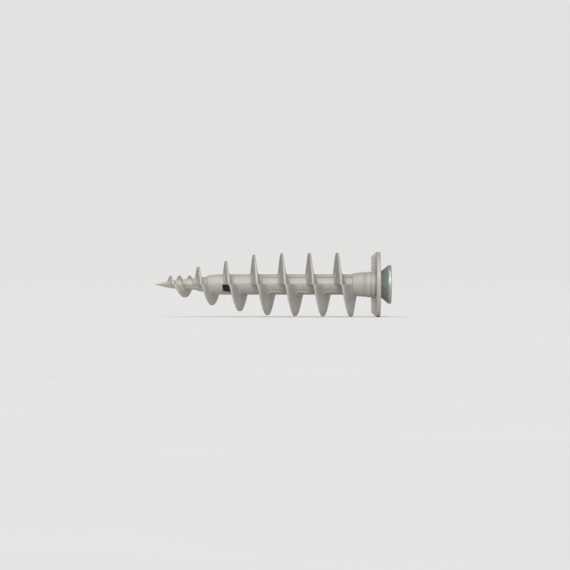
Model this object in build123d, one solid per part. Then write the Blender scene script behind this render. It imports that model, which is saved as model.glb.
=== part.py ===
"""Self-drilling spiral wall anchor with its countersunk screw.

Frame: millimetres, +X out of the wall along the screw axis, +Z up. The origin is the
centre of the flange's front face, which lies flush with the finished wall surface.
The drill tip points to -X.
"""

import math
import os

from build123d import *

# ---- Driving dimensions ----
ANCHOR_LENGTH = 90.0
FLANGE_DIAMETER = 26.0
FLANGE_THICKNESS = 1.6
SHAFT_DIAMETER = 8.14
SCREW_DIAMETER = 6.0
SPIRAL_DIAMETER = 25.6
SPIRAL_PITCH = 11.1
FIXTURE_THICKNESS = 4.4

# ---- Core of the anchor, from the drill tip to the flange ----
POINT_CONE_LENGTH = 5.7
POINT_CONE_RADIUS = 1.4
NECK_RADIUS = 2.75
NECK_MIDDLE_RADIUS = 2.2
NECK_MIDDLE_X = -77.8
NECK_END_X = -71.8
SHOULDER_X = -69.0
SHOULDER_RADIUS = 3.0
SHOULDER_CHAMFER = 0.3
SHAFT_START_RADIUS = 3.55
SHAFT_SWELL_X = -67.0
SHAFT_SWELL_RADIUS = 3.88
SHAFT_FULL_X = -64.5
PANEL_START_X = -47.1
PANEL_RADIUS = 3.69
RAIL_HALF_WIDTH = 2.87
COLLAR_START_X = -11.2
COLLAR_STEP_LENGTH = 0.15
COLLAR_STEP_RADIUS = 4.3
COLLAR_BEND_X = -8.0
COLLAR_BEND_RADIUS = 4.8
COLLAR_END_X = -4.0
COLLAR_RADIUS = 5.2
COLLAR_RING_X = (-7.2, -6.45, -5.7)
COLLAR_RING_FLOOR_RADIUS = 4.78
COLLAR_RING_WIDTH = 0.22
HUB_RADIUS = 5.25

# ---- Cutting spiral: right-handed, one start, moulded in an upper and a lower half ----
SPIRAL_TOP_X = -83.75
SPIRAL_TURNS = 7
UPPER_ADVANCE = 2.9
LOWER_ADVANCE = 7.3
FRONT_STEP = 0.3
SPIRAL_RUNOUT_X = -10.9
SPIRAL_RUNOUT_LENGTH = 2.3
SPIRAL_RUNOUT_RADIUS = 4.6
CREST_WIDTH = 0.7
ROOT_WIDTH = 2.5
NECK_BURIED_RADIUS = 1.0
SHOULDER_BURIED_RADIUS = 2.7
TIP_FLANK_SHARE = 0.4

# ---- Fine ridges that start the hole, on the upper half of the neck ----
PILOT_TOP_X = (-80.05, -76.0)
PILOT_ADVANCE = 4.0
PILOT_CREST_RADIUS = 3.6
PILOT_CREST_WIDTH = 0.4
PILOT_ROOT_WIDTH = 1.7
PILOT_RUNOUT_LENGTH = 2.0

# ---- Side window that lets drilling dust out of the bore ----
WINDOW_START_X = -62.9
WINDOW_LENGTH = 3.6
WINDOW_HEIGHT = 2.9

# ---- Milling ribs behind the flange, one above and one below the hub ----
RIB_COUNT = 2
RIB_DEPTH = 2.0
RIB_WIDTH = 1.2
RIB_CHAMFER = 1.8
RIB_BURIED = 0.4

# ---- Drive socket in the flange and the screw bore ----
SOCKET_LOBE_DIAMETER = 8.8
SOCKET_VALLEY_DIAMETER = 6.5
SOCKET_DEPTH = 8.0
BORE_CLEARANCE = 0.05
BORE_END_X = -61.9
BORE_CONE_LENGTH = 1.6
SEAT_CLEARANCE = 0.04

# ---- Screw ----
HEAD_DIAMETER = 15.4
HEAD_CONE_HALF_ANGLE = 40.0
HEAD_EDGE = 0.25
HEAD_SEAT_RADIUS = 5.0
SCREW_LENGTH = 60.0
SHANK_LENGTH = 12.0
SHANK_DIAMETER = 4.3
SHANK_STEP_LENGTH = 0.4
THREAD_ROOT_DIAMETER = 3.8
THREAD_PITCH = 3.0
THREAD_CREST_WIDTH = 0.25
THREAD_ROOT_WIDTH = 1.15
THREAD_BURIED_RADIUS = 0.8
THREAD_TIP_RADIUS = 0.2
SCREW_POINT_LENGTH = 6.5
SCREW_SOCKET_LOBE_DIAMETER = 5.6
SCREW_SOCKET_VALLEY_DIAMETER = 4.0
SCREW_SOCKET_DEPTH = 2.8

LOBES = 6
LOBE_BLEND = 0.08

# Cutters and untrimmed blades reach this far past the surface that bounds them.
OVERCUT = 0.5
AXIS_TURN = Rot(0, 90, 0)

shaft_radius = SHAFT_DIAMETER / 2
flange_radius = FLANGE_DIAMETER / 2
spiral_radius = SPIRAL_DIAMETER / 2
screw_radius = SCREW_DIAMETER / 2
tip_x = -ANCHOR_LENGTH
head_slope = math.tan(math.radians(HEAD_CONE_HALF_ANGLE))


def turned(points):
    """Solid of revolution about X from (x, radius) points; it closes along the axis."""
    outline = [(points[0][0], 0.0)] + list(points) + [(points[-1][0], 0.0)]
    distinct = [p for i, p in enumerate(outline) if i == 0 or p != outline[i - 1]]
    profile = Plane.XZ * make_face(Polyline(*distinct, close=True))
    return revolve(profile, Axis.X)


def helical_blade(start_x, turns, pitch, radii, widths, tip_share):
    """Right-handed blade about X that starts on the -Z side of the axis at start_x.

    tip_share is the share of the root's extra width that lies on the side of the tip.
    """
    inner, outer = radii
    crest_width, root_width = widths
    extra = root_width - crest_width
    tip_side = crest_width / 2 + extra * tip_share
    flange_side = crest_width / 2 + extra * (1 - tip_share)
    section = Plane.XZ * make_face(
        Polyline(
            (inner, -tip_side),
            (outer, -crest_width / 2),
            (outer, crest_width / 2),
            (inner, flange_side),
            close=True,
        )
    )
    path = Helix(pitch, pitch * turns, (inner + outer) / 2)
    blade = sweep(section, path=path, is_frenet=True)
    return Pos(start_x, 0, 0) * AXIS_TURN * blade


def screw_thread(start_x, end_x, envelope):
    """The screw's thread as a list of single turns, each trimmed to the envelope."""
    radii = (THREAD_BURIED_RADIUS, screw_radius + OVERCUT)
    widths = (THREAD_CREST_WIDTH, THREAD_ROOT_WIDTH)
    turns = (end_x - start_x) / THREAD_PITCH
    pieces = []
    for index in range(math.ceil(turns)):
        share = min(1.0, turns - index)
        turn_x = start_x + index * THREAD_PITCH
        blade = helical_blade(turn_x, share, THREAD_PITCH, radii, widths, 0.5)
        pieces.append(blade & envelope)
    return pieces


def six_lobe_prism(lobe_diameter, valley_diameter, depth):
    """Six-lobe socket tool that runs from x = 0 to x = -depth."""
    lobe_radius = (lobe_diameter - valley_diameter) / 4 + valley_diameter * LOBE_BLEND
    lobe_centre = lobe_diameter / 2 - lobe_radius
    sketch = Circle(valley_diameter / 2)
    for index in range(LOBES):
        angle = 2 * math.pi * index / LOBES
        place = Pos(lobe_centre * math.cos(angle), lobe_centre * math.sin(angle))
        sketch += place * Circle(lobe_radius)
    prism = extrude(sketch, depth)
    return Rot(0, -90, 0) * prism


def anchor_core():
    """Drill point, neck, shaft, collar and flange, before anything is cut."""
    return turned([
        (tip_x, 0.0),
        (tip_x + POINT_CONE_LENGTH, POINT_CONE_RADIUS),
        (NECK_MIDDLE_X, NECK_MIDDLE_RADIUS),
        (NECK_END_X, NECK_RADIUS),
        (SHOULDER_X - SHOULDER_CHAMFER, SHOULDER_RADIUS),
        (SHOULDER_X, SHAFT_START_RADIUS),
        (SHAFT_SWELL_X, SHAFT_SWELL_RADIUS),
        (SHAFT_FULL_X, shaft_radius),
        (COLLAR_START_X, shaft_radius),
        (COLLAR_START_X + COLLAR_STEP_LENGTH, COLLAR_STEP_RADIUS),
        (COLLAR_BEND_X, COLLAR_BEND_RADIUS),
        (COLLAR_END_X, COLLAR_RADIUS),
        (COLLAR_END_X, HUB_RADIUS),
        (-FLANGE_THICKNESS, HUB_RADIUS),
        (-FLANGE_THICKNESS, flange_radius),
        (0.0, flange_radius),
    ])


def shaft_panels():
    """Two shallow recesses on the front and back of the shaft, between the rails."""
    length = COLLAR_START_X - PANEL_START_X
    middle_x = (COLLAR_START_X + PANEL_START_X) / 2
    outer = Cylinder(shaft_radius + OVERCUT, length)
    ring = AXIS_TURN * (outer - Cylinder(PANEL_RADIUS, length))
    band = Box(length, 4 * shaft_radius, 2 * RAIL_HALF_WIDTH)
    return Pos(middle_x, 0, 0) * (ring & band)


def collar_rings():
    """Fine witness rings turned into the collar."""
    outer = Cylinder(COLLAR_RADIUS + OVERCUT, COLLAR_RING_WIDTH)
    ring = AXIS_TURN * (outer - Cylinder(COLLAR_RING_FLOOR_RADIUS, COLLAR_RING_WIDTH))
    return [Pos(x, 0, 0) * ring for x in COLLAR_RING_X]


def spiral_envelope():
    """Taper that bounds the cutting spiral: steep over the point, nearly level after."""
    return turned([
        (-86.5, 1.2),
        (-83.5, 3.6),
        (-78.9, 4.9),
        (-72.4, 7.2),
        (-61.3, 9.5),
        (-50.3, 12.0),
        (-39.0, 12.5),
        (SPIRAL_RUNOUT_X, spiral_radius),
        (SPIRAL_RUNOUT_X + SPIRAL_RUNOUT_LENGTH, SPIRAL_RUNOUT_RADIUS),
    ])


def foot_radius(start_x, middle_x):
    """Radius at which a half turn's foot is sunk in the solid core beneath it."""
    if start_x > SHOULDER_X:
        return (shaft_radius + screw_radius) / 2
    if middle_x > SHOULDER_X:
        return SHOULDER_BURIED_RADIUS
    return NECK_BURIED_RADIUS


def half_turn(middle_x, advance, upper, envelope, widths, tip_share):
    """Half a turn of blade, over the top or under the bottom, trimmed to the envelope."""
    start_x = middle_x - advance / 2
    radii = (foot_radius(start_x, middle_x), envelope.bounding_box().max.Z + OVERCUT)
    blade = helical_blade(0, 0.5, 2 * advance, radii, widths, tip_share)
    start_angle = 90 if upper else -90
    placed = Pos(start_x, 0, 0) * Rot(start_angle, 0, 0) * blade
    return placed & envelope


def cutting_spiral():
    """Single-start cutting blade: steep half turns above, slanted half turns below."""
    envelope = spiral_envelope()
    widths = (CREST_WIDTH, ROOT_WIDTH)
    shapes = [(0.0, UPPER_ADVANCE, True)]
    shapes.append(((UPPER_ADVANCE + LOWER_ADVANCE) / 2 + FRONT_STEP, LOWER_ADVANCE, False))
    halves = []
    for turn in range(SPIRAL_TURNS):
        top_x = SPIRAL_TOP_X + turn * SPIRAL_PITCH
        for offset, advance, upper in shapes:
            middle_x = top_x + offset
            halves.append(half_turn(middle_x, advance, upper, envelope, widths, TIP_FLANK_SHARE))
    return halves


def pilot_ridges():
    """Fine half-turn ridges on top of the neck that pull the point into the board."""
    start_x = PILOT_TOP_X[0] - PILOT_ADVANCE / 2
    end_x = PILOT_TOP_X[1] + PILOT_ADVANCE / 2
    envelope = turned([
        (start_x - PILOT_RUNOUT_LENGTH / 2, NECK_MIDDLE_RADIUS),
        (start_x + PILOT_RUNOUT_LENGTH / 2, PILOT_CREST_RADIUS),
        (end_x - PILOT_RUNOUT_LENGTH / 2, PILOT_CREST_RADIUS),
        (end_x + PILOT_RUNOUT_LENGTH / 2, NECK_RADIUS),
    ])
    widths = (PILOT_CREST_WIDTH, PILOT_ROOT_WIDTH)
    return [half_turn(x, PILOT_ADVANCE, True, envelope, widths, 0.5) for x in PILOT_TOP_X]


def milling_ribs():
    """Radial ribs behind the flange that mill its seat into the plaster."""
    ring = turned([
        (-FLANGE_THICKNESS - RIB_DEPTH, flange_radius - RIB_CHAMFER),
        (-FLANGE_THICKNESS, flange_radius),
        (-FLANGE_THICKNESS / 2, flange_radius),
    ])
    ring = Rot(90, 0, 0) * ring
    inner = HUB_RADIUS - RIB_BURIED
    length = flange_radius + OVERCUT - inner
    bar = Pos(-FLANGE_THICKNESS, 0, inner + length / 2) * Box(3 * RIB_DEPTH, RIB_WIDTH, length)
    step = 360 / RIB_COUNT
    return [ring & Rot(index * step, 0, 0) * bar for index in range(RIB_COUNT)]


def bore_cutter():
    """Screw bore: open countersunk mouth, plain bore and a closed conical end."""
    bore_radius = screw_radius + BORE_CLEARANCE
    mouth_radius = HEAD_SEAT_RADIUS + SEAT_CLEARANCE
    mouth_depth = (mouth_radius - bore_radius) / head_slope
    return turned([
        (BORE_END_X - BORE_CONE_LENGTH, 0.0),
        (BORE_END_X, bore_radius),
        (-mouth_depth, bore_radius),
        (OVERCUT, mouth_radius + OVERCUT * head_slope),
    ])


def window_cutter():
    """Rectangular slot through the front wall of the shaft into the bore."""
    middle_x = WINDOW_START_X + WINDOW_LENGTH / 2
    reach = shaft_radius + OVERCUT
    return Pos(middle_x, -reach / 2, -WINDOW_HEIGHT / 2) * Box(WINDOW_LENGTH, reach, WINDOW_HEIGHT)


def build_anchor_body():
    """The whole anchor is one moulding."""
    body = anchor_core() - shaft_panels()
    for ring in collar_rings():
        body -= ring
    body -= bore_cutter()
    body -= six_lobe_prism(SOCKET_LOBE_DIAMETER, SOCKET_VALLEY_DIAMETER, SOCKET_DEPTH)
    body -= window_cutter()
    body += milling_ribs()
    body += cutting_spiral()
    return body + pilot_ridges()


def build_screw():
    """Countersunk screw with a wood thread, seated in the anchor.

    Its head ends flush with the front of a fixture of the full thickness.
    """
    head_radius = HEAD_DIAMETER / 2
    root_radius = THREAD_ROOT_DIAMETER / 2
    cone_end = (head_radius - HEAD_SEAT_RADIUS) / head_slope
    shank_start = -(HEAD_SEAT_RADIUS - SHANK_DIAMETER / 2) / head_slope
    shank_end = shank_start - SHANK_LENGTH
    point_x = FIXTURE_THICKNESS - SCREW_LENGTH
    body = turned([
        (point_x, 0.0),
        (point_x + SCREW_POINT_LENGTH, root_radius),
        (shank_end, root_radius),
        (shank_end + SHANK_STEP_LENGTH, SHANK_DIAMETER / 2),
        (shank_start, SHANK_DIAMETER / 2),
        (cone_end, head_radius),
        (FIXTURE_THICKNESS - HEAD_EDGE, head_radius),
        (FIXTURE_THICKNESS, head_radius - HEAD_EDGE),
    ])
    envelope = turned([
        (point_x, THREAD_TIP_RADIUS),
        (point_x + SCREW_POINT_LENGTH, screw_radius),
        (shank_end - THREAD_PITCH, screw_radius),
        (shank_end + SHANK_STEP_LENGTH, root_radius),
    ])
    body += screw_thread(point_x, shank_end, envelope)
    socket = six_lobe_prism(
        SCREW_SOCKET_LOBE_DIAMETER, SCREW_SOCKET_VALLEY_DIAMETER, SCREW_SOCKET_DEPTH
    )
    return body - Pos(FIXTURE_THICKNESS, 0, 0) * socket


def main():
    """Write one STEP file for each piece."""
    os.makedirs("parts", exist_ok=True)
    export_step(build_anchor_body(), "parts/anchor_body.step")
    export_step(build_screw(), "parts/screw.step")


main()
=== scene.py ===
"""Looks of the self-drilling spiral wall anchor and its screw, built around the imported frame.

The frame's +X runs out of the wall along the screw axis and +Z is up. Its origin is the
centre of the flange's front face. Lengths below are in millimetres unless they say otherwise.
"""

import math

import bmesh
import bpy
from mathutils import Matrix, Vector


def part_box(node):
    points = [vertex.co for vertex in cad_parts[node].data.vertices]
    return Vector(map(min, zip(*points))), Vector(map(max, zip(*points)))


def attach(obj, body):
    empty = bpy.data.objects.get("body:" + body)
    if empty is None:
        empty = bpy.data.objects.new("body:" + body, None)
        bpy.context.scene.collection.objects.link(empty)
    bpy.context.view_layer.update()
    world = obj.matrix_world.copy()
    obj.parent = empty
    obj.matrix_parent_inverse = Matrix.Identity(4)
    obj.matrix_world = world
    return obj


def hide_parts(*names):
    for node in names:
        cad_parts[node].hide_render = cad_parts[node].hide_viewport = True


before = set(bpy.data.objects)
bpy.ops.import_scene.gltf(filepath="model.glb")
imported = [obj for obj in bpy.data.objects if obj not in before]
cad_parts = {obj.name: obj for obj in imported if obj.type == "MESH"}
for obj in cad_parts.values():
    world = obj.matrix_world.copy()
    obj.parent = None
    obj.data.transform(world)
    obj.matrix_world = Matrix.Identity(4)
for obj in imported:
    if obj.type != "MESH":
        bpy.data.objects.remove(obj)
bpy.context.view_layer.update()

MM = 0.001
TURN_STEPS = 96
AXIS_HOLE = 0.02    # radius of the tiny end faces that close a lathed solid on its axis

# ---- Sizes taken from the frame; a name ending in _x is a place along the axis ----
anchor_low, anchor_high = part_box("anchor_body")
screw_low, screw_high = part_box("screw")
tip_x = anchor_low[0] / MM
flange_radius = anchor_high[2] / MM
screw_point_x = screw_low[0] / MM
head_face_x = screw_high[0] / MM
head_radius = screw_high[2] / MM

# ---- Core of the anchor; a pair is a place along the axis and the radius there ----
POINT_CONE_END = (-84.3, 1.4)
POINT_BLEND_END_X = -82.0
NECK_MIDDLE = (-77.8, 2.2)
NECK_END = (-71.8, 2.75)
SHOULDER_START = (-69.3, 3.0)
SHAFT_START = (-69.0, 3.55)
SHAFT_SWELL = (-67.0, 3.88)
SHAFT_FULL_X = -64.5
SHAFT_RADIUS = 4.07
PANEL_START_X = -47.1
PANEL_RADIUS = 3.69
RAIL_HALF_WIDTH = 2.87
# Angle off the side at which a panel ends, and the gap between the rings' points there.
PANEL_EDGE = math.asin(RAIL_HALF_WIDTH / SHAFT_RADIUS) + math.radians(1.8)
EDGE_RING_GAP = math.radians(0.7)
PANEL_SLOPE_LENGTH = 0.2
COLLAR_START_X = -11.2
COLLAR_STEP_LENGTH = 0.15
COLLAR_STEP_RADIUS = 4.3
COLLAR_BEND = (-8.0, 4.8)
COLLAR_END_X = -4.0
COLLAR_RADIUS = 5.2
COLLAR_RING_X = (-7.2, -6.45, -5.7)
COLLAR_RING_DEPTH = 0.28
COLLAR_RING_WIDTH = 0.38
HUB_RADIUS = 5.25
HUB_GROOVE_X = (-3.8, -1.9)
HUB_GROOVE_DEPTH = 0.3
HUB_GROOVE_WIDTH = 0.36
FLANGE_THICKNESS = 1.6

# ---- Ledge where the lower half of the neck is slimmer than the upper half ----
LEDGE_ANGLE = math.radians(-6.0)
LEDGE_DEPTH = [(-80.5, 0.0), (-78.4, 0.34), (-73.6, 0.34), (-72.4, 0.0)]

# ---- Cutting spiral, moulded in an upper and a lower half ----
PITCH = 11.1
SPIRAL_TOP_X = -83.75
SPIRAL_START_X = -87.0
SPIRAL_END_X = -8.75
SPIRAL_TURNS = range(-1, 8)
UPPER_ADVANCE = 2.9
LOWER_ADVANCE = 7.3
FRONT_STEP = 0.3
SPIRAL_TAPER = [
    (-87.6, 0.4),
    (-86.5, 1.2),
    (-83.5, 3.6),
    (-78.9, 4.9),
    (-72.4, 7.2),
    (-61.3, 9.5),
    (-50.3, 12.0),
    (-39.0, 12.5),
    (-10.9, 12.8),
    (-8.6, 4.6),
]
CREST_HALF = 0.35
CREST_ROUND = 0.13
# A blade has a flank towards the tip and one towards the flange. Each leans out by its slope,
# and by its draw fill where the mould half draws over it. Its root is read a reach away.
TIP_FLANK_SLOPE = 0.07
FLANGE_FLANK_SLOPE = 0.11
TIP_DRAW_FILL = 0.9
FLANGE_DRAW_FILL = 0.55
TIP_ROOT_REACH = 1.2
FLANGE_ROOT_REACH = 1.8
ROOT_FILLET = 0.8
BLADE_FOOT_RADIUS = 3.42
FOOT_SHARE = 0.6
FLANK_POINTS = 7
FLANK_SPACING = 0.8
LOWEST_BLADE = 0.02
STEPS_PER_HALF = 60
HALF_GAP = 0.003    # share of a half turn by which a blade stops short of the parting line

# ---- Fine ridges on the upper half of the neck ----
PILOT_TOP_X = (-80.05, -76.0)
PILOT_ADVANCE = 4.0
PILOT_RADIUS = 3.6
PILOT_CREST_HALF = 0.12
PILOT_SLOPE = 0.06
PILOT_FILLET = 0.2
PILOT_FOOT_SHARE = 0.5

# ---- Openings ----
BORE_RADIUS = 3.05
BORE_END_X = -61.9
BORE_CONE_LENGTH = 1.6
BORE_OVERCUT = 0.5
WINDOW_START_X = -62.9
WINDOW_LENGTH = 3.6
WINDOW_HEIGHT = 2.9
WINDOW_FLARE = 0.08
WINDOW_DRAFT = 0.12
WINDOW_FLOOR_Y = -0.2
WINDOW_OVERCUT = 1.0
SEAT_RADIUS = 5.04
HEAD_SLOPE = math.tan(math.radians(40.0))

# ---- Six-lobe sockets of the anchor and the screw ----
LOBES = 6
LOBE_STEPS = 144
LOBE_BLEND = 0.08
LOBE_MOUTH_CHAMFER = 0.12
LOBE_MOUTH_FLARE = 1.035
LOBE_OVERCUT = 1.0
LOBE_FLOOR_SHARE = 0.75
LOBE_FLOOR_CONE = 0.12
SOCKET_LOBE_DIAMETER = 8.8
SOCKET_VALLEY_DIAMETER = 6.5
SOCKET_DEPTH = 8.0
DRIVE_LOBE_DIAMETER = 5.6
DRIVE_VALLEY_DIAMETER = 4.0
DRIVE_DEPTH = 2.8

# ---- Milling ribs, one above and one below the hub ----
RIB_COUNT = 2
RIB_WIDTH = 1.2
RIB_DEPTH = 2.0
RIB_CHAMFER = 1.8
RIB_DRAFT = 0.06
RIB_BURIED = 0.4
RIB_FLANGE_BURIED = 0.5
RIB_RIM_GAPS = (0.3, 0.04)    # from the rim, inside the flange and at its back face

# ---- Screw ----
HEAD_SEAT_RADIUS = 5.0
SHANK_RADIUS = 2.15
THREAD_ROOT_RADIUS = 1.9
THREAD_RADIUS = 3.0
THREAD_PITCH = 3.0
THREAD_STEPS = 72
THREAD_CREST_HALF = 0.1
THREAD_SLOPE = 0.28
THREAD_FILLET = 0.25
THREAD_TIP_RADIUS = 0.1
THREAD_RUNOUT = (0.2, 1.7)    # length past the shank's end, and radius there
THREAD_BURIED = 0.05
THREAD_FOOT_SHARE = 0.5
SHANK_LENGTH = 12.0
SHANK_STEP_LENGTH = 0.4
SCREW_POINT_LENGTH = 6.5


# ==== Geometry helpers ====

def piecewise(points, x):
    """Value at x on the straight lines through points, level past both ends."""
    if x <= points[0][0]:
        return points[0][1]
    for (xa, va), (xb, vb) in zip(points, points[1:]):
        if x <= xb:
            return va + (vb - va) * (x - xa) / (xb - xa)
    return points[-1][1]


def arc_corner(before, corner, after, radius, steps=4):
    """Points that round a corner with a quadratic curve starting radius away from it."""
    def toward(end):
        """Point near the corner on the line to end."""
        length = math.dist(corner, end)
        share = min(radius, 0.45 * length) / length
        return tuple(c + (e - c) * share for c, e in zip(corner, end))

    start, finish = toward(before), toward(after)
    points = []
    for index in range(steps + 1):
        t = index / steps
        points.append(tuple(
            (1 - t) ** 2 * s + 2 * t * (1 - t) * c + t ** 2 * f
            for s, c, f in zip(start, corner, finish)
        ))
    return points


def rounded(points):
    """Outline from (x, r, radius) points, with each corner of non-zero radius rounded."""
    outline = []
    for index, (x, r, radius) in enumerate(points):
        if radius and 0 < index < len(points) - 1:
            before, after = points[index - 1][:2], points[index + 1][:2]
            outline += arc_corner(before, (x, r), after, radius)
        else:
            outline.append((x, r))
    return outline


def even_angles(count):
    """Angles of count even steps round a full turn."""
    return [2 * math.pi * i / count for i in range(count)]


def new_object(name, vertices, faces):
    """Mesh object from millimetre coordinates, with its normals facing out."""
    mesh = bpy.data.meshes.new(name)
    mesh.from_pydata([(x * MM, y * MM, z * MM) for x, y, z in vertices], [], faces)
    bm = bmesh.new()
    bm.from_mesh(mesh)
    bmesh.ops.remove_doubles(bm, verts=bm.verts, dist=1e-7)
    bmesh.ops.recalc_face_normals(bm, faces=bm.faces)
    bm.to_mesh(mesh)
    bm.free()
    piece = bpy.data.objects.new(name, mesh)
    bpy.context.collection.objects.link(piece)
    return piece


def lathe(name, outline, angles=None, reshape=None):
    """Closed solid of revolution about X. reshape(x, r, angle) may change a radius."""
    angles = angles or even_angles(TURN_STEPS)
    count = len(angles)
    vertices = []
    for x, r in outline:
        for angle in angles:
            radius = reshape(x, r, angle) if reshape else r
            vertices.append((x, -radius * math.cos(angle), radius * math.sin(angle)))
    faces = []
    for ring in range(len(outline) - 1):
        for i in range(count):
            j = (i + 1) % count
            a, b = ring * count, (ring + 1) * count
            faces.append((a + i, a + j, b + j, b + i))
    faces.append(tuple(range(count)))
    last = (len(outline) - 1) * count
    faces.append(tuple(range(last, last + count)))
    return new_object(name, vertices, faces)


def swept(name, stations):
    """Closed solid through stations, each an angle from the top and an (x, r) loop."""
    vertices, faces = [], []
    for angle, loop in stations:
        for x, r in loop:
            vertices.append((x, -r * math.sin(angle), r * math.cos(angle)))
    size = len(stations[0][1])
    for a in range(0, size * (len(stations) - 1), size):
        b = a + size
        for i in range(size):
            j = (i + 1) % size
            faces.append((a + i, a + j, b + j, b + i))
    faces.append(tuple(range(size)))
    faces.append(tuple(range(len(vertices) - size, len(vertices))))
    return new_object(name, vertices, faces)


def blade_loop(crest_x, crest, foot, sides):
    """Loop of a blade: buried foot, flared root, flank and rounded crest on each side.

    A side is (sign, crest half width, root radius, fillet, flank), where flank(r) is how
    far the side leans out from its crest edge at radius r.
    """
    loop = []
    for sign, half, root, fillet, flank in sides:
        height = max(crest - root, LOWEST_BLADE)
        fillet = min(fillet, 0.5 * height)
        rounding = min(CREST_ROUND, 0.3 * height, 0.8 * half)
        side = []
        for index in range(FLANK_POINTS + 1):
            depth = (index / FLANK_POINTS) ** FLANK_SPACING
            r = crest - rounding - (height - rounding) * depth
            flare = fillet * max(0.0, 1 - (r - root) / fillet) ** 2
            side.append((crest_x + sign * (half + flank(r) + flare), r))
        top = arc_corner((crest_x, crest), (crest_x + sign * half, crest), side[0], rounding, 3)
        side = top[:-1] + side
        side.append((side[-1][0], foot))
        loop += side if sign > 0 else side[::-1]
    return loop


def combine(target, tool, operation):
    """Boolean of target and tool, applied at once; the tool is used up."""
    modifier = target.modifiers.new("combine", "BOOLEAN")
    modifier.operation = operation
    modifier.solver = "MANIFOLD"
    modifier.object = tool
    depsgraph = bpy.context.evaluated_depsgraph_get()
    result = bpy.data.meshes.new_from_object(target.evaluated_get(depsgraph))
    target.modifiers.clear()
    old = target.data
    target.data = result
    bpy.data.meshes.remove(old)
    bpy.data.objects.remove(tool)


def finish_mesh(piece, sharp_angle=35.0):
    """Smooth shading that keeps real edges crisp."""
    bm = bmesh.new()
    bm.from_mesh(piece.data)
    bmesh.ops.remove_doubles(bm, verts=bm.verts, dist=2e-7)
    bmesh.ops.dissolve_degenerate(bm, edges=bm.edges, dist=2e-7)
    bm.to_mesh(piece.data)
    bm.free()
    piece.data.shade_smooth()
    piece.data.set_sharp_from_angle(angle=math.radians(sharp_angle))


# ==== Anchor body ====

def core_radius(x):
    """Radius of the solid core under the spiral."""
    points = [(tip_x, 0.0), POINT_CONE_END, NECK_MIDDLE, NECK_END, SHOULDER_START,
              SHAFT_START, SHAFT_SWELL, (SHAFT_FULL_X, SHAFT_RADIUS),
              (COLLAR_START_X, SHAFT_RADIUS),
              (COLLAR_START_X + COLLAR_STEP_LENGTH, COLLAR_STEP_RADIUS), COLLAR_BEND]
    return piecewise(points, x)


def grooved(places, radius_at, depth, width):
    """Outline points of fine grooves turned into a surface of radius_at(x)."""
    outline = []
    for x in places:
        r = radius_at(x)
        outline += [(x - width / 2, r), (x - width / 4, r - depth)]
        outline += [(x + width / 4, r - depth), (x + width / 2, r)]
    return outline


def collar_outline():
    """Collar with its fine witness rings, and the hub with a groove at each end."""
    outline = rounded([
        (COLLAR_START_X, SHAFT_RADIUS, 0),
        (COLLAR_START_X + COLLAR_STEP_LENGTH, COLLAR_STEP_RADIUS, 0.12),
        (*COLLAR_BEND, 1.2),
        (COLLAR_END_X, COLLAR_RADIUS, 0),
    ])[:-1]

    def collar_radius(x):
        return piecewise([COLLAR_BEND, (COLLAR_END_X, COLLAR_RADIUS)], x)

    outline += grooved(COLLAR_RING_X, collar_radius, COLLAR_RING_DEPTH, COLLAR_RING_WIDTH)
    outline.append((COLLAR_END_X, COLLAR_RADIUS))
    outline += grooved(HUB_GROOVE_X, lambda x: HUB_RADIUS, HUB_GROOVE_DEPTH, HUB_GROOVE_WIDTH)
    return outline


def core_outline():
    """Outline of tip, neck, shaft, collar and flange, with moulded edge rounding."""
    ledge_x = [x for x, _ in LEDGE_DEPTH]
    blend_length = POINT_BLEND_END_X - POINT_CONE_END[0]
    rings = [POINT_CONE_END[0] + share * blend_length for share in (0.0, 0.25, 0.5, 0.75, 1.0)]
    rings = [POINT_CONE_END[0] - 0.3, *rings, ledge_x[0]]
    outline = [(tip_x, AXIS_HOLE)]
    outline += [(x, core_radius(x)) for x in rings]
    outline += rounded([
        (ledge_x[1], core_radius(ledge_x[1]), 0),
        (*NECK_MIDDLE, 0.5),
        (ledge_x[2], core_radius(ledge_x[2]), 0),
        (ledge_x[3], core_radius(ledge_x[3]), 0),
        (*NECK_END, 0.5),
        (*SHOULDER_START, 0.12),
        (*SHAFT_START, 0.12),
        (*SHAFT_SWELL, 1.8),
        (SHAFT_FULL_X, SHAFT_RADIUS, 2.0),
        (PANEL_START_X - 0.12, SHAFT_RADIUS, 0),
        (PANEL_START_X, SHAFT_RADIUS, 0),
        (PANEL_START_X + 0.25, SHAFT_RADIUS, 0),
        (COLLAR_START_X - 0.02, SHAFT_RADIUS, 0),
    ])
    outline += collar_outline()
    outline += rounded([
        (-FLANGE_THICKNESS, HUB_RADIUS, 0),
        (-FLANGE_THICKNESS, flange_radius, 0.22),
        (0.0, flange_radius, 0.28),
        (0.0, AXIS_HOLE, 0),
    ])
    return outline


def shaft_angles():
    """Ring angles from the front, with a close pair at each panel edge and neck ledge."""
    angles = even_angles(TURN_STEPS)
    edges = [PANEL_EDGE, math.pi - PANEL_EDGE, math.pi + PANEL_EDGE, 2 * math.pi - PANEL_EDGE]
    edges += [2 * math.pi + LEDGE_ANGLE, math.pi - LEDGE_ANGLE]
    for edge in edges:
        angles = [a for a in angles if abs(a - edge) > 2.2 * EDGE_RING_GAP]
        angles += [edge - EDGE_RING_GAP, edge + EDGE_RING_GAP]
    return sorted(angles)


def panel_share(x, from_side):
    """How far a point lies in a shaft panel, 0 to 1; from_side is its angle off the side."""
    if not PANEL_START_X - 0.01 < x < COLLAR_START_X - 0.01:
        return 0.0
    if from_side > PANEL_EDGE:
        return 0.0
    return min(1.0, (x - PANEL_START_X) / PANEL_SLOPE_LENGTH)


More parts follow.
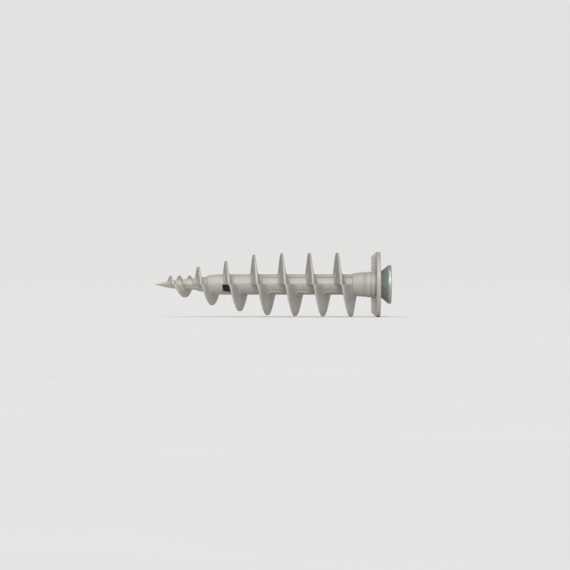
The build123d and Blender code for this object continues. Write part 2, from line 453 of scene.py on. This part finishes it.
def core_reshape(x, r, angle):
    """Panels on the shaft, the ledge on the neck and the four-sided drill point."""
    from_side = min(angle, abs(angle - math.pi), 2 * math.pi - angle)
    r += (PANEL_RADIUS - r) * panel_share(x, from_side)
    if math.pi - LEDGE_ANGLE < angle < 2 * math.pi + LEDGE_ANGLE:
        r -= piecewise(LEDGE_DEPTH, x)
    squareness = piecewise([(POINT_CONE_END[0], 1.0), (POINT_BLEND_END_X, 0.0)], x)
    diamond = 1.0 / (abs(math.cos(angle)) + abs(math.sin(angle)))
    return r * (1.0 + squareness * (diamond - 1.0))


def crest_place(turn, angle):
    """Crest x at an angle from the top towards the front, -90 to 270 degrees in a turn."""
    top_x = SPIRAL_TOP_X + turn * PITCH
    if angle < math.pi / 2:
        return top_x + UPPER_ADVANCE * angle / math.pi
    bottom_x = top_x + (UPPER_ADVANCE + LOWER_ADVANCE) / 2 + FRONT_STEP
    return bottom_x + LOWER_ADVANCE * (angle / math.pi - 1)


def spiral_loop(turn, angle):
    """Section of the spiral. The flank that the mould half draws over is filled along Z."""
    crest_x = crest_place(turn, angle)
    crest = piecewise(SPIRAL_TAPER, crest_x)
    pole = 0.0 if angle < math.pi / 2 else math.pi

    def draw(r):
        """How far the crest that shades this point along Z lies ahead of it along X."""
        shaded = pole + math.asin(min(1.0, r / crest) * math.sin(angle - pole))
        return crest_place(turn, shaded) - crest_x

    def tip_flank(r):
        return TIP_FLANK_SLOPE * (crest - r) - TIP_DRAW_FILL * min(0.0, draw(r))

    def flange_flank(r):
        return FLANGE_FLANK_SLOPE * (crest - r) + FLANGE_DRAW_FILL * max(0.0, draw(r))

    def root_at(x):
        """Radius of the core at this angle, panels included."""
        from_side = abs(abs(angle - pole) - math.pi / 2)
        radius = core_radius(x)
        return radius + (PANEL_RADIUS - radius) * panel_share(x, from_side)

    tip_root = root_at(crest_x - TIP_ROOT_REACH)
    flange_root = root_at(crest_x + FLANGE_ROOT_REACH)
    lowest = min(tip_root, flange_root, crest)
    foot = BLADE_FOOT_RADIUS if lowest > BLADE_FOOT_RADIUS else FOOT_SHARE * lowest
    return blade_loop(crest_x, crest, foot, [
        (-1, CREST_HALF, tip_root, ROOT_FILLET, tip_flank),
        (1, CREST_HALF, flange_root, ROOT_FILLET, flange_flank),
    ])


def build_spiral():
    """The cutting blade, one station after another from the point to the collar."""
    stations = []
    for turn in SPIRAL_TURNS:
        for pole in (0.0, math.pi):
            for index in range(STEPS_PER_HALF + 1):
                share = min(max(index / STEPS_PER_HALF, HALF_GAP), 1 - HALF_GAP)
                angle = pole + math.pi * (share - 0.5)
                if SPIRAL_START_X < crest_place(turn, angle) < SPIRAL_END_X:
                    stations.append((angle, spiral_loop(turn, angle)))
    return swept("spiral", stations)


def build_pilot(top_x):
    """One fine ridge over the top of the neck, cut off square at the mould's parting."""
    def flank(r):
        return PILOT_SLOPE * (PILOT_RADIUS - r)

    stations = []
    for index in range(STEPS_PER_HALF + 1):
        angle = math.pi * (index / STEPS_PER_HALF - 0.5)
        x = top_x + PILOT_ADVANCE * angle / math.pi
        root = core_radius(x)
        sides = [(sign, PILOT_CREST_HALF, root, PILOT_FILLET, flank) for sign in (-1, 1)]
        stations.append((angle, blade_loop(x, PILOT_RADIUS, PILOT_FOOT_SHARE * root, sides)))
    return swept("pilot", stations)


def rib_bar(index):
    """One rib behind the flange: drafted sides and a chamfered outer end."""
    back = -FLANGE_THICKNESS
    buried_gap, back_gap = RIB_RIM_GAPS
    side = [
        (back + RIB_FLANGE_BURIED, HUB_RADIUS - RIB_BURIED),
        (back + RIB_FLANGE_BURIED, flange_radius - buried_gap),
        (back, flange_radius - back_gap),
        (back - RIB_DEPTH, flange_radius - RIB_CHAMFER),
        (back - RIB_DEPTH, HUB_RADIUS - RIB_BURIED),
    ]
    angle = 2 * math.pi * index / RIB_COUNT
    across = (math.cos(angle), -math.sin(angle))
    outward = (math.sin(angle), math.cos(angle))
    vertices = []
    for sign in (-1, 1):
        for x, r in side:
            draft = RIB_DRAFT * (back - x) / RIB_DEPTH
            w = sign * (RIB_WIDTH / 2 - max(0.0, draft))
            y, z = (o * r + a * w for o, a in zip(outward, across))
            vertices.append((x, y, z))
    count = len(side)
    faces = [tuple(range(count)), tuple(range(count, 2 * count))]
    faces += [(i, (i + 1) % count, count + (i + 1) % count, count + i) for i in range(count)]
    return new_object(f"rib_{index}", vertices, faces)


def six_lobe_tool(name, lobe_diameter, valley_diameter, depth, face_x):
    """Cutter for a six-lobe socket whose mouth is at face_x, with a coned floor."""
    lobe_radius = (lobe_diameter - valley_diameter) / 4 + LOBE_BLEND * valley_diameter
    lobe_centre = lobe_diameter / 2 - lobe_radius

    def radius_at(angle):
        best = valley_diameter / 2
        for k in range(LOBES):
            off = angle - 2 * math.pi * k / LOBES
            inside = lobe_radius ** 2 - (lobe_centre * math.sin(off)) ** 2
            if inside > 0 and math.cos(off) > 0:
                best = max(best, lobe_centre * math.cos(off) + math.sqrt(inside))
        return best

    # The second number is a share of the lobed radius here, except on the axis.
    floor_x = face_x - depth
    outline = [
        (floor_x - LOBE_FLOOR_CONE * valley_diameter, AXIS_HOLE),
        (floor_x, LOBE_FLOOR_SHARE),
        (floor_x, 1.0),
        (face_x - LOBE_MOUTH_CHAMFER, 1.0),
        (face_x, LOBE_MOUTH_FLARE),
        (face_x + LOBE_OVERCUT, LOBE_MOUTH_FLARE),
    ]

    def reshape(x, share, angle):
        return share if share == AXIS_HOLE else share * radius_at(angle - math.pi / 2)

    return lathe(name, outline, even_angles(LOBE_STEPS), reshape)


def window_tool():
    """Cutter for the side window, slightly narrower inside than outside."""
    outside = (-SHAFT_RADIUS - WINDOW_OVERCUT, -WINDOW_FLARE)
    inside = (WINDOW_FLOOR_Y, WINDOW_DRAFT)
    vertices = []
    for y, inset in (outside, inside):
        for x in (WINDOW_START_X + inset, WINDOW_START_X + WINDOW_LENGTH - inset):
            for z in (-WINDOW_HEIGHT + inset, -inset):
                vertices.append((x, y, z))
    faces = [(0, 1, 3, 2), (4, 6, 7, 5), (0, 4, 5, 1), (2, 3, 7, 6), (0, 2, 6, 4), (1, 5, 7, 3)]
    return new_object("window_tool", vertices, faces)


def bore_tool():
    """Cutter for the countersunk mouth and the blind screw bore."""
    mouth_depth = (SEAT_RADIUS - BORE_RADIUS) / HEAD_SLOPE
    return lathe("bore_tool", [
        (BORE_END_X - BORE_CONE_LENGTH, AXIS_HOLE),
        (BORE_END_X, BORE_RADIUS),
        (-mouth_depth, BORE_RADIUS),
        (BORE_OVERCUT, SEAT_RADIUS + BORE_OVERCUT * HEAD_SLOPE),
    ])


def build_anchor():
    """The anchor's one moulding."""
    body = lathe("anchor_moulding", core_outline(), shaft_angles(), core_reshape)
    combine(body, build_spiral(), "UNION")
    for top_x in PILOT_TOP_X:
        combine(body, build_pilot(top_x), "UNION")
    for index in range(RIB_COUNT):
        combine(body, rib_bar(index), "UNION")
    combine(body, bore_tool(), "DIFFERENCE")
    combine(body, six_lobe_tool(
        "socket_tool", SOCKET_LOBE_DIAMETER, SOCKET_VALLEY_DIAMETER, SOCKET_DEPTH, 0.0
    ), "DIFFERENCE")
    combine(body, window_tool(), "DIFFERENCE")
    finish_mesh(body)
    return body


# ==== Screw ====

def build_thread(shank_end, point_end):
    """Coarse thread that grows from the point and runs out at the shank."""
    runout_length, runout_radius = THREAD_RUNOUT
    taper = [
        (screw_point_x, THREAD_TIP_RADIUS),
        (point_end, THREAD_RADIUS),
        (shank_end - THREAD_PITCH, THREAD_RADIUS),
        (shank_end + runout_length, runout_radius),
    ]
    core = [(screw_point_x, 0.0), (point_end, THREAD_ROOT_RADIUS)]
    step_length = THREAD_PITCH / THREAD_STEPS
    stations = []
    for index in range(1, int((shank_end - screw_point_x) / step_length)):
        x = screw_point_x + index * step_length
        root = piecewise(core, x)
        crest = max(piecewise(taper, x), root - THREAD_BURIED)

        def flank(r):
            return THREAD_SLOPE * (crest - r)

        sides = [(sign, THREAD_CREST_HALF, root, THREAD_FILLET, flank) for sign in (-1, 1)]
        loop = blade_loop(x, crest, THREAD_FOOT_SHARE * min(root, crest), sides)
        stations.append((2 * math.pi * index / THREAD_STEPS, loop))
    return swept("thread", stations)


def build_screw():
    """Countersunk screw with a coarse thread and a six-lobe recess."""
    cone_end = (head_radius - HEAD_SEAT_RADIUS) / HEAD_SLOPE
    shank_start = -(HEAD_SEAT_RADIUS - SHANK_RADIUS) / HEAD_SLOPE
    shank_end = shank_start - SHANK_LENGTH
    point_end = screw_point_x + SCREW_POINT_LENGTH
    body = lathe("screw_detailed", rounded([
        (screw_point_x, AXIS_HOLE, 0),
        (point_end, THREAD_ROOT_RADIUS, 1.5),
        (shank_end, THREAD_ROOT_RADIUS, 0.1),
        (shank_end + SHANK_STEP_LENGTH, SHANK_RADIUS, 0.3),
        (shank_start, SHANK_RADIUS, 0.5),
        (cone_end, head_radius, 0.16),
        (head_face_x, head_radius, 0.3),
        (head_face_x, AXIS_HOLE, 0),
    ]))
    combine(body, build_thread(shank_end, point_end), "UNION")
    combine(body, six_lobe_tool(
        "drive_tool", DRIVE_LOBE_DIAMETER, DRIVE_VALLEY_DIAMETER, DRIVE_DEPTH, head_face_x
    ), "DIFFERENCE")
    finish_mesh(body)
    return body


# ==== Materials ====

def new_material(name):
    """New node material; returns the material, its node tree and its shader."""
    material = bpy.data.materials.new(name)
    material.use_nodes = True
    tree = material.node_tree
    shader = tree.nodes["Principled BSDF"]
    return material, tree, shader


def noise(tree, scale, detail=4.0, roughness=0.55, stretch=None):
    """Noise texture in object space; stretch scales it along each axis."""
    place = tree.nodes.new("ShaderNodeTexCoord")
    texture = tree.nodes.new("ShaderNodeTexNoise")
    texture.inputs["Scale"].default_value = scale
    texture.inputs["Detail"].default_value = detail
    texture.inputs["Roughness"].default_value = roughness
    source = place.outputs["Object"]
    if stretch:
        mapping = tree.nodes.new("ShaderNodeMapping")
        mapping.inputs["Scale"].default_value = stretch
        tree.links.new(source, mapping.inputs["Vector"])
        source = mapping.outputs["Vector"]
    tree.links.new(source, texture.inputs["Vector"])
    return texture.outputs["Fac"]


def ramp(tree, source, stops):
    """Colour ramp with (position, colour) stops."""
    node = tree.nodes.new("ShaderNodeValToRGB")
    elements = node.color_ramp.elements
    while len(elements) < len(stops):
        elements.new(0.5)
    for element, (position, color) in zip(elements, stops):
        element.position = position
        element.color = (*color, 1.0)
    tree.links.new(source, node.inputs["Fac"])
    return node.outputs["Color"]


def map_range(tree, source, low, high, to_low, to_high):
    """Value of source stretched from one range to another."""
    node = tree.nodes.new("ShaderNodeMapRange")
    node.inputs["From Min"].default_value = low
    node.inputs["From Max"].default_value = high
    node.inputs["To Min"].default_value = to_low
    node.inputs["To Max"].default_value = to_high
    tree.links.new(source, node.inputs["Value"])
    return node.outputs["Result"]


def multiplied(tree, first, second):
    """Product of two colours."""
    node = tree.nodes.new("ShaderNodeMix")
    node.data_type = "RGBA"
    node.blend_type = "MULTIPLY"
    factor, a, b = (node.inputs[index] for index in (0, 6, 7))    # its colour sockets
    factor.default_value = 1.0
    tree.links.new(first, a)
    tree.links.new(second, b)
    return node.outputs[2]


def bump(tree, height, strength, distance, normal=None):
    """Normal roughened by height, on top of an earlier normal if there is one."""
    node = tree.nodes.new("ShaderNodeBump")
    node.inputs["Strength"].default_value = strength
    node.inputs["Distance"].default_value = distance
    tree.links.new(height, node.inputs["Height"])
    if normal:
        tree.links.new(normal, node.inputs["Normal"])
    return node.outputs["Normal"]


def nylon_material():
    """Light warm-grey glass-filled nylon: fibre streaks, flow clouds and a satin skin."""
    material, tree, shader = new_material("moulded_nylon_detailed")
    clouds = noise(tree, 90.0, 3.0, 0.5)
    fibres = noise(tree, 2200.0, 2.0, 0.6, (0.25, 1.0, 1.0))
    pits = noise(tree, 5200.0, 1.0, 0.5)
    base = ramp(tree, clouds, [(0.3, (0.405, 0.383, 0.352)), (0.7, (0.465, 0.445, 0.415))])
    streaks = ramp(tree, fibres, [(0.35, (0.90, 0.89, 0.87)), (0.65, (1.0, 1.0, 1.0))])
    tree.links.new(multiplied(tree, base, streaks), shader.inputs["Base Color"])
    rough = map_range(tree, fibres, 0.3, 0.7, 0.32, 0.42)
    tree.links.new(rough, shader.inputs["Roughness"])
    normal = bump(tree, fibres, 0.25, 0.00003)
    normal = bump(tree, pits, 0.2, 0.00002, normal)
    tree.links.new(normal, shader.inputs["Normal"])
    shader.inputs["Subsurface Weight"].default_value = 0.15
    shader.inputs["Subsurface Radius"].default_value = (1.0, 0.8, 0.6)
    shader.inputs["Subsurface Scale"].default_value = 0.0006
    shader.inputs["IOR"].default_value = 1.5
    return material


def steel_material():
    """Dark teal-grey zinc-flake coating over cold-formed steel."""
    material, tree, shader = new_material("coated_steel_detailed")
    clouds = noise(tree, 350.0, 4.0, 0.6)
    grain = noise(tree, 4500.0, 2.0, 0.6)
    color = ramp(tree, clouds, [(0.3, (0.28, 0.318, 0.302)), (0.7, (0.41, 0.45, 0.432))])
    tree.links.new(color, shader.inputs["Base Color"])
    shader.inputs["Metallic"].default_value = 0.55
    shader.inputs["Coat Weight"].default_value = 0.15
    shader.inputs["Coat Roughness"].default_value = 0.25
    rough = map_range(tree, grain, 0.3, 0.7, 0.38, 0.5)
    tree.links.new(rough, shader.inputs["Roughness"])
    normal = bump(tree, grain, 0.18, 0.00002)
    tree.links.new(normal, shader.inputs["Normal"])
    return material


# ==== Stage ====

FLOOR_COLOR = (0.85, 0.85, 0.845)
FLOOR_HALF_WIDTH_M = 30.0
SKY_COLOR = (1.0, 0.99, 0.98)
SKY_STRENGTH = 0.33
# Each sun: name, azimuth from the front towards +X, elevation, strength, softness, color.
SUNS = [
    ("softbox", -8.0, 55.0, 1.7, 60.0, (1.0, 0.995, 0.985)),
    ("glint", 4.0, 31.0, 0.7, 16.0, (1.0, 1.0, 1.0)),
    ("fill", -5.0, 4.0, 0.8, 50.0, (1.0, 0.985, 0.965)),
]
CAMERA_LENS = 200.0
CAMERA_SENSOR = 36.0
VIEW_WIDTH_M = 0.2275
VIEW_CENTRE_M = (-0.038, -0.0002)


def floor_brightness():
    """Light that the open floor sends back, which the backdrop has to match."""
    light = [SKY_STRENGTH * value for value in SKY_COLOR]
    for _, _, elevation, strength, _, color in SUNS:
        share = strength * math.sin(math.radians(elevation)) / math.pi
        light = [total + share * value for total, value in zip(light, color)]
    return [value * albedo for value, albedo in zip(light, FLOOR_COLOR)]


def floor_material():
    """Matt pale floor with a barely visible mottle."""
    material, tree, shader = new_material("pale_floor")
    fine = noise(tree, 40.0, 3.0, 0.5)
    dark = [0.99 * value for value in FLOOR_COLOR]
    light = [1.01 * value for value in FLOOR_COLOR]
    color = ramp(tree, fine, [(0.3, dark), (0.7, light)])
    tree.links.new(color, shader.inputs["Base Color"])
    shader.inputs["Roughness"].default_value = 1.0
    shader.inputs["Specular IOR Level"].default_value = 0.0
    return material


def add_floor():
    """Plain pale floor that the anchor lies on."""
    mesh = bpy.data.meshes.new("floor")
    corners = [(-1, -1), (1, -1), (1, 1), (-1, 1)]
    vertices = [(FLOOR_HALF_WIDTH_M * x, FLOOR_HALF_WIDTH_M * y, anchor_low[2]) for x, y in corners]
    mesh.from_pydata(vertices, [], [(0, 1, 2, 3)])
    floor = bpy.data.objects.new("floor", mesh)
    bpy.context.collection.objects.link(floor)
    mesh.materials.append(floor_material())


def add_sun(name, azimuth, elevation, strength, softness, color):
    """Distant soft light, with its angles in degrees."""
    light = bpy.data.lights.new(name, "SUN")
    light.energy = strength
    light.angle = math.radians(softness)
    light.color = color
    lamp = bpy.data.objects.new(name, light)
    side, up = math.radians(azimuth), math.radians(elevation)
    toward = Vector((math.sin(side) * math.cos(up), -math.cos(side) * math.cos(up), math.sin(up)))
    lamp.rotation_euler = toward.to_track_quat("Z", "Y").to_euler()
    bpy.context.collection.objects.link(lamp)


def add_world():
    """Even backdrop for the camera, and a dimmer sky that fills the shadows."""
    world = bpy.data.worlds.new("studio")
    world.use_nodes = True
    tree = world.node_tree
    sky = tree.nodes["Background"]
    sky.inputs["Color"].default_value = (*SKY_COLOR, 1.0)
    sky.inputs["Strength"].default_value = SKY_STRENGTH
    backdrop = tree.nodes.new("ShaderNodeBackground")
    backdrop.inputs["Color"].default_value = (*floor_brightness(), 1.0)
    path = tree.nodes.new("ShaderNodeLightPath")
    mix = tree.nodes.new("ShaderNodeMixShader")
    tree.links.new(path.outputs["Is Camera Ray"], mix.inputs[0])
    tree.links.new(sky.outputs["Background"], mix.inputs[1])
    tree.links.new(backdrop.outputs["Background"], mix.inputs[2])
    tree.links.new(mix.outputs["Shader"], tree.nodes["World Output"].inputs["Surface"])
    bpy.context.scene.world = world


def add_lights():
    """Large softbox above the front, a smaller one that glints, and a low front fill."""
    for sun in SUNS:
        add_sun(*sun)
    add_world()


def add_camera():
    """Long lens square to the side of the anchor, level with its axis."""
    camera = bpy.data.cameras.new("camera")
    camera.lens = CAMERA_LENS
    camera.sensor_width = CAMERA_SENSOR
    camera.clip_start = 0.01
    viewer = bpy.data.objects.new("camera", camera)
    distance = VIEW_WIDTH_M * CAMERA_LENS / CAMERA_SENSOR
    viewer.location = (VIEW_CENTRE_M[0], -distance, VIEW_CENTRE_M[1])
    viewer.rotation_euler = (math.pi / 2, 0.0, 0.0)
    bpy.context.collection.objects.link(viewer)
    bpy.context.scene.camera = viewer


# ==== Assembly ====

add_camera()
add_lights()
add_floor()

anchor = build_anchor()
anchor.data.materials.clear()
anchor.data.materials.append(nylon_material())
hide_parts("anchor_body")
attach(anchor, "anchor")

screw = build_screw()
screw.data.materials.clear()
screw.data.materials.append(steel_material())
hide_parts("screw")
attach(screw, "screw")

bpy.context.scene.view_settings.view_transform = "Standard"
